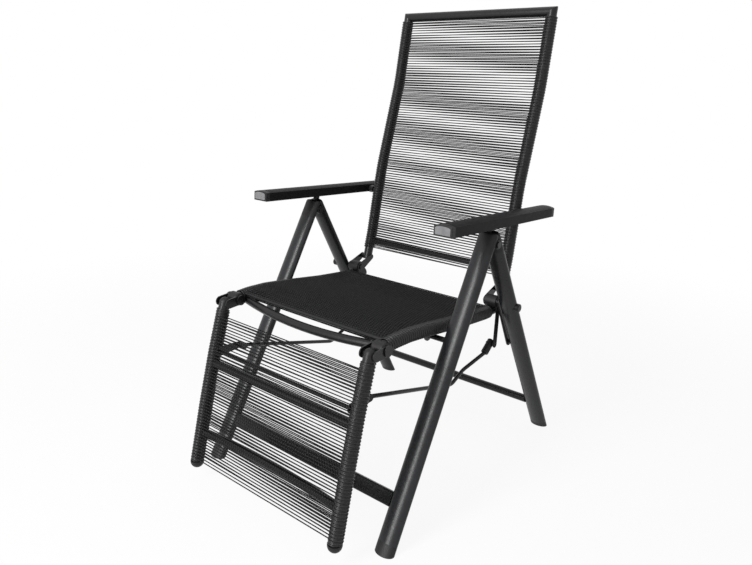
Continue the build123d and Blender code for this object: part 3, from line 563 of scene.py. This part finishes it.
# The plate's outline round that point, how far it stands out each way, and its fineness
PLATE_HALF = 0.0175
PLATE_LOW = -0.0085
PLATE_SHOULDER = 0.0045
PLATE_TOP = 0.0085
PLATE_PROUD = 0.0007
CROWN_STATIONS = 15
EDGE_SEGMENTS = 2
# Painted reflection: this pale grey stands in for lamp light reflected from the end caps' faces
REFLECTION_GREY = (0.17, 0.17, 0.175)


def painted_reflection_plate(side, x):
    """Pale flat plate on an armrest's front end, with a domed top and rounded edges; its pale grey is painted
    reflection of the lamps.
    """
    turn = Matrix.Rotation(-math.atan(ARM_DROP / ARM_RUN), 4, "X")
    place = Matrix.Translation((x, ARM_FRONT[0] + HINGE_Y, ARM_FRONT[1])) @ turn
    crown = [(PLATE_HALF * math.cos(a), PLATE_SHOULDER + (PLATE_TOP - PLATE_SHOULDER) * math.sin(a))
             for a in np.linspace(0, math.pi, CROWN_STATIONS)]
    outline = [(-PLATE_HALF, PLATE_LOW), (PLATE_HALF, PLATE_LOW), *crown]
    front = [place @ Vector((a, -PLATE_PROUD, b)) for a, b in outline]
    back = [place @ Vector((a, PLATE_PROUD, b)) for a, b in outline]
    count = len(outline)
    ring = [(i, (i + 1) % count, count + (i + 1) % count, count + i) for i in range(count)]
    faces = [list(range(count)), list(reversed(range(count, 2 * count))), *ring]
    mesh = bpy.data.meshes.new(f"armrest_end_plate_{side}")
    mesh.from_pydata([tuple(v) for v in front + back], [], faces)
    plate = add_object(mesh.name, mesh)
    edge = plate.modifiers.new("edge", "BEVEL")
    edge.width = PLATE_PROUD / 2
    edge.segments = EDGE_SEGMENTS
    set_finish(plate, "plastic")
    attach(plate, "armrests")
    return plate


def armrest_painted_reflection_plates():
    """The pale plates of painted reflection on both armrests."""
    grey = finished("painted_reflection_plate_grey", REFLECTION_GREY, MOULDED_PLASTIC)
    for side, x in (("left", ARM_X), ("right", -ARM_X)):
        dress(painted_reflection_plate(side, x), grey)


# Studio floor: its paint, how white it is seen near the chair, and where it turns all white
FLOOR_SIZE = 60
FLOOR_COLOR = (0.86, 0.86, 0.86)
FLOOR_TONES = ((0.85, 0.85, 0.85), (0.87, 0.87, 0.87))
FLOOR_ROUGHNESS = 0.9
FLOOR_CLOUDS = Noise(3)
FLOOR_WHITE_SHARE = 0.92
FLOOR_FADE = (0.8, 2.4)

# Light from all round, and lamps by name, place, size and power, all aimed at one point
WORLD_LEVEL = 0.25
LAMPS = (
    ("key", (-0.3, -2.8, 1.8), (1.0, 2.4), 110),
    ("top", (0.2, 0.3, 3.2), (2.0, 2.0), 10),
)
AIM = (0.1, 0, 0.5)


def seen_directly(tree):
    """1 for rays from the camera, mirrors and glass, 0 for the rays that light things."""
    path = tree.nodes.new("ShaderNodeLightPath")
    total = path.outputs["Is Camera Ray"]
    for name in ("Is Glossy Ray", "Is Transmission Ray"):
        node = tree.nodes.new("ShaderNodeMath")
        node.operation = "MAXIMUM"
        tree.links.new(total, node.inputs[0])
        tree.links.new(path.outputs[name], node.inputs[1])
        total = node.outputs["Value"]
    return total


def mix_into(tree, factor, first, second, target):
    """The first shader where the factor is 0 and the second where it is 1, sent to an output."""
    mix = tree.nodes.new("ShaderNodeMixShader")
    tree.links.new(factor, mix.inputs["Fac"])
    tree.links.new(first, mix.inputs[1])
    tree.links.new(second, mix.inputs[2])
    tree.links.new(mix.outputs["Shader"], target)


def white_world():
    """Dim even light on things, and plain white where the world itself is seen."""
    world = bpy.data.worlds.new("studio")
    bpy.context.scene.world = world
    world.use_nodes = True
    tree = world.node_tree
    tree.nodes.clear()
    lighting = tree.nodes.new("ShaderNodeBackground")
    lighting.inputs["Strength"].default_value = WORLD_LEVEL
    white = tree.nodes.new("ShaderNodeBackground")
    for node in (lighting, white):
        node.inputs["Color"].default_value = (1, 1, 1, 1)
    surface = tree.nodes.new("ShaderNodeOutputWorld").inputs["Surface"]
    mix_into(tree, seen_directly(tree), lighting.outputs["Background"], white.outputs["Background"],
             surface)


def white_floor():
    """Pale floor that keeps the shadow near the chair and is seen white farther off."""
    mesh = bpy.data.meshes.new("floor")
    half = FLOOR_SIZE / 2
    corners = [(-half, -half, 0), (half, -half, 0), (half, half, 0), (-half, half, 0)]
    mesh.from_pydata(corners, [], [(0, 1, 2, 3)])
    add_object("floor", mesh)
    material, tree, shader, place = new_material("pale_floor", FLOOR_COLOR, FLOOR_ROUGHNESS)
    tint(tree, pattern_over(tree, place, FLOOR_CLOUDS), *FLOOR_TONES, shader)
    away = tree.nodes.new("ShaderNodeVectorMath")
    away.operation = "LENGTH"
    tree.links.new(place, away.inputs[0])
    fade = tree.nodes.new("ShaderNodeMapRange")
    fade.interpolation_type = "SMOOTHSTEP"
    fade.inputs["From Min"].default_value = FLOOR_FADE[0]
    fade.inputs["From Max"].default_value = FLOOR_FADE[1]
    fade.inputs["To Min"].default_value = FLOOR_WHITE_SHARE
    tree.links.new(away.outputs["Value"], fade.inputs["Value"])
    whiteness = tree.nodes.new("ShaderNodeMath")
    whiteness.operation = "MULTIPLY"
    tree.links.new(seen_directly(tree), whiteness.inputs[0])
    tree.links.new(fade.outputs["Result"], whiteness.inputs[1])
    white = tree.nodes.new("ShaderNodeEmission")
    surface = tree.nodes["Material Output"].inputs["Surface"]
    mix_into(tree, whiteness.outputs["Value"], shader.outputs["BSDF"], white.outputs["Emission"],
             surface)
    mesh.materials.append(material)


def soft_lamps():
    """Broad lamps, all aimed at the chair."""
    for name, place, size, power in LAMPS:
        data = bpy.data.lights.new(name, "AREA")
        data.shape = "RECTANGLE"
        data.size = size[0]
        data.size_y = size[1]
        data.energy = power
        lamp = add_object(name, data)
        lamp.location = place
        lamp.rotation_euler = (Vector(AIM) - Vector(place)).to_track_quat("-Z", "Y").to_euler()


make_camera()
for panel in PANELS:
    string_panel(panel)
armrest_painted_reflection_plates()
finish_materials()
white_world()
white_floor()
soft_lamps()
bpy.context.scene.view_settings.view_transform = "Standard"

bpy.context.view_layer.update()
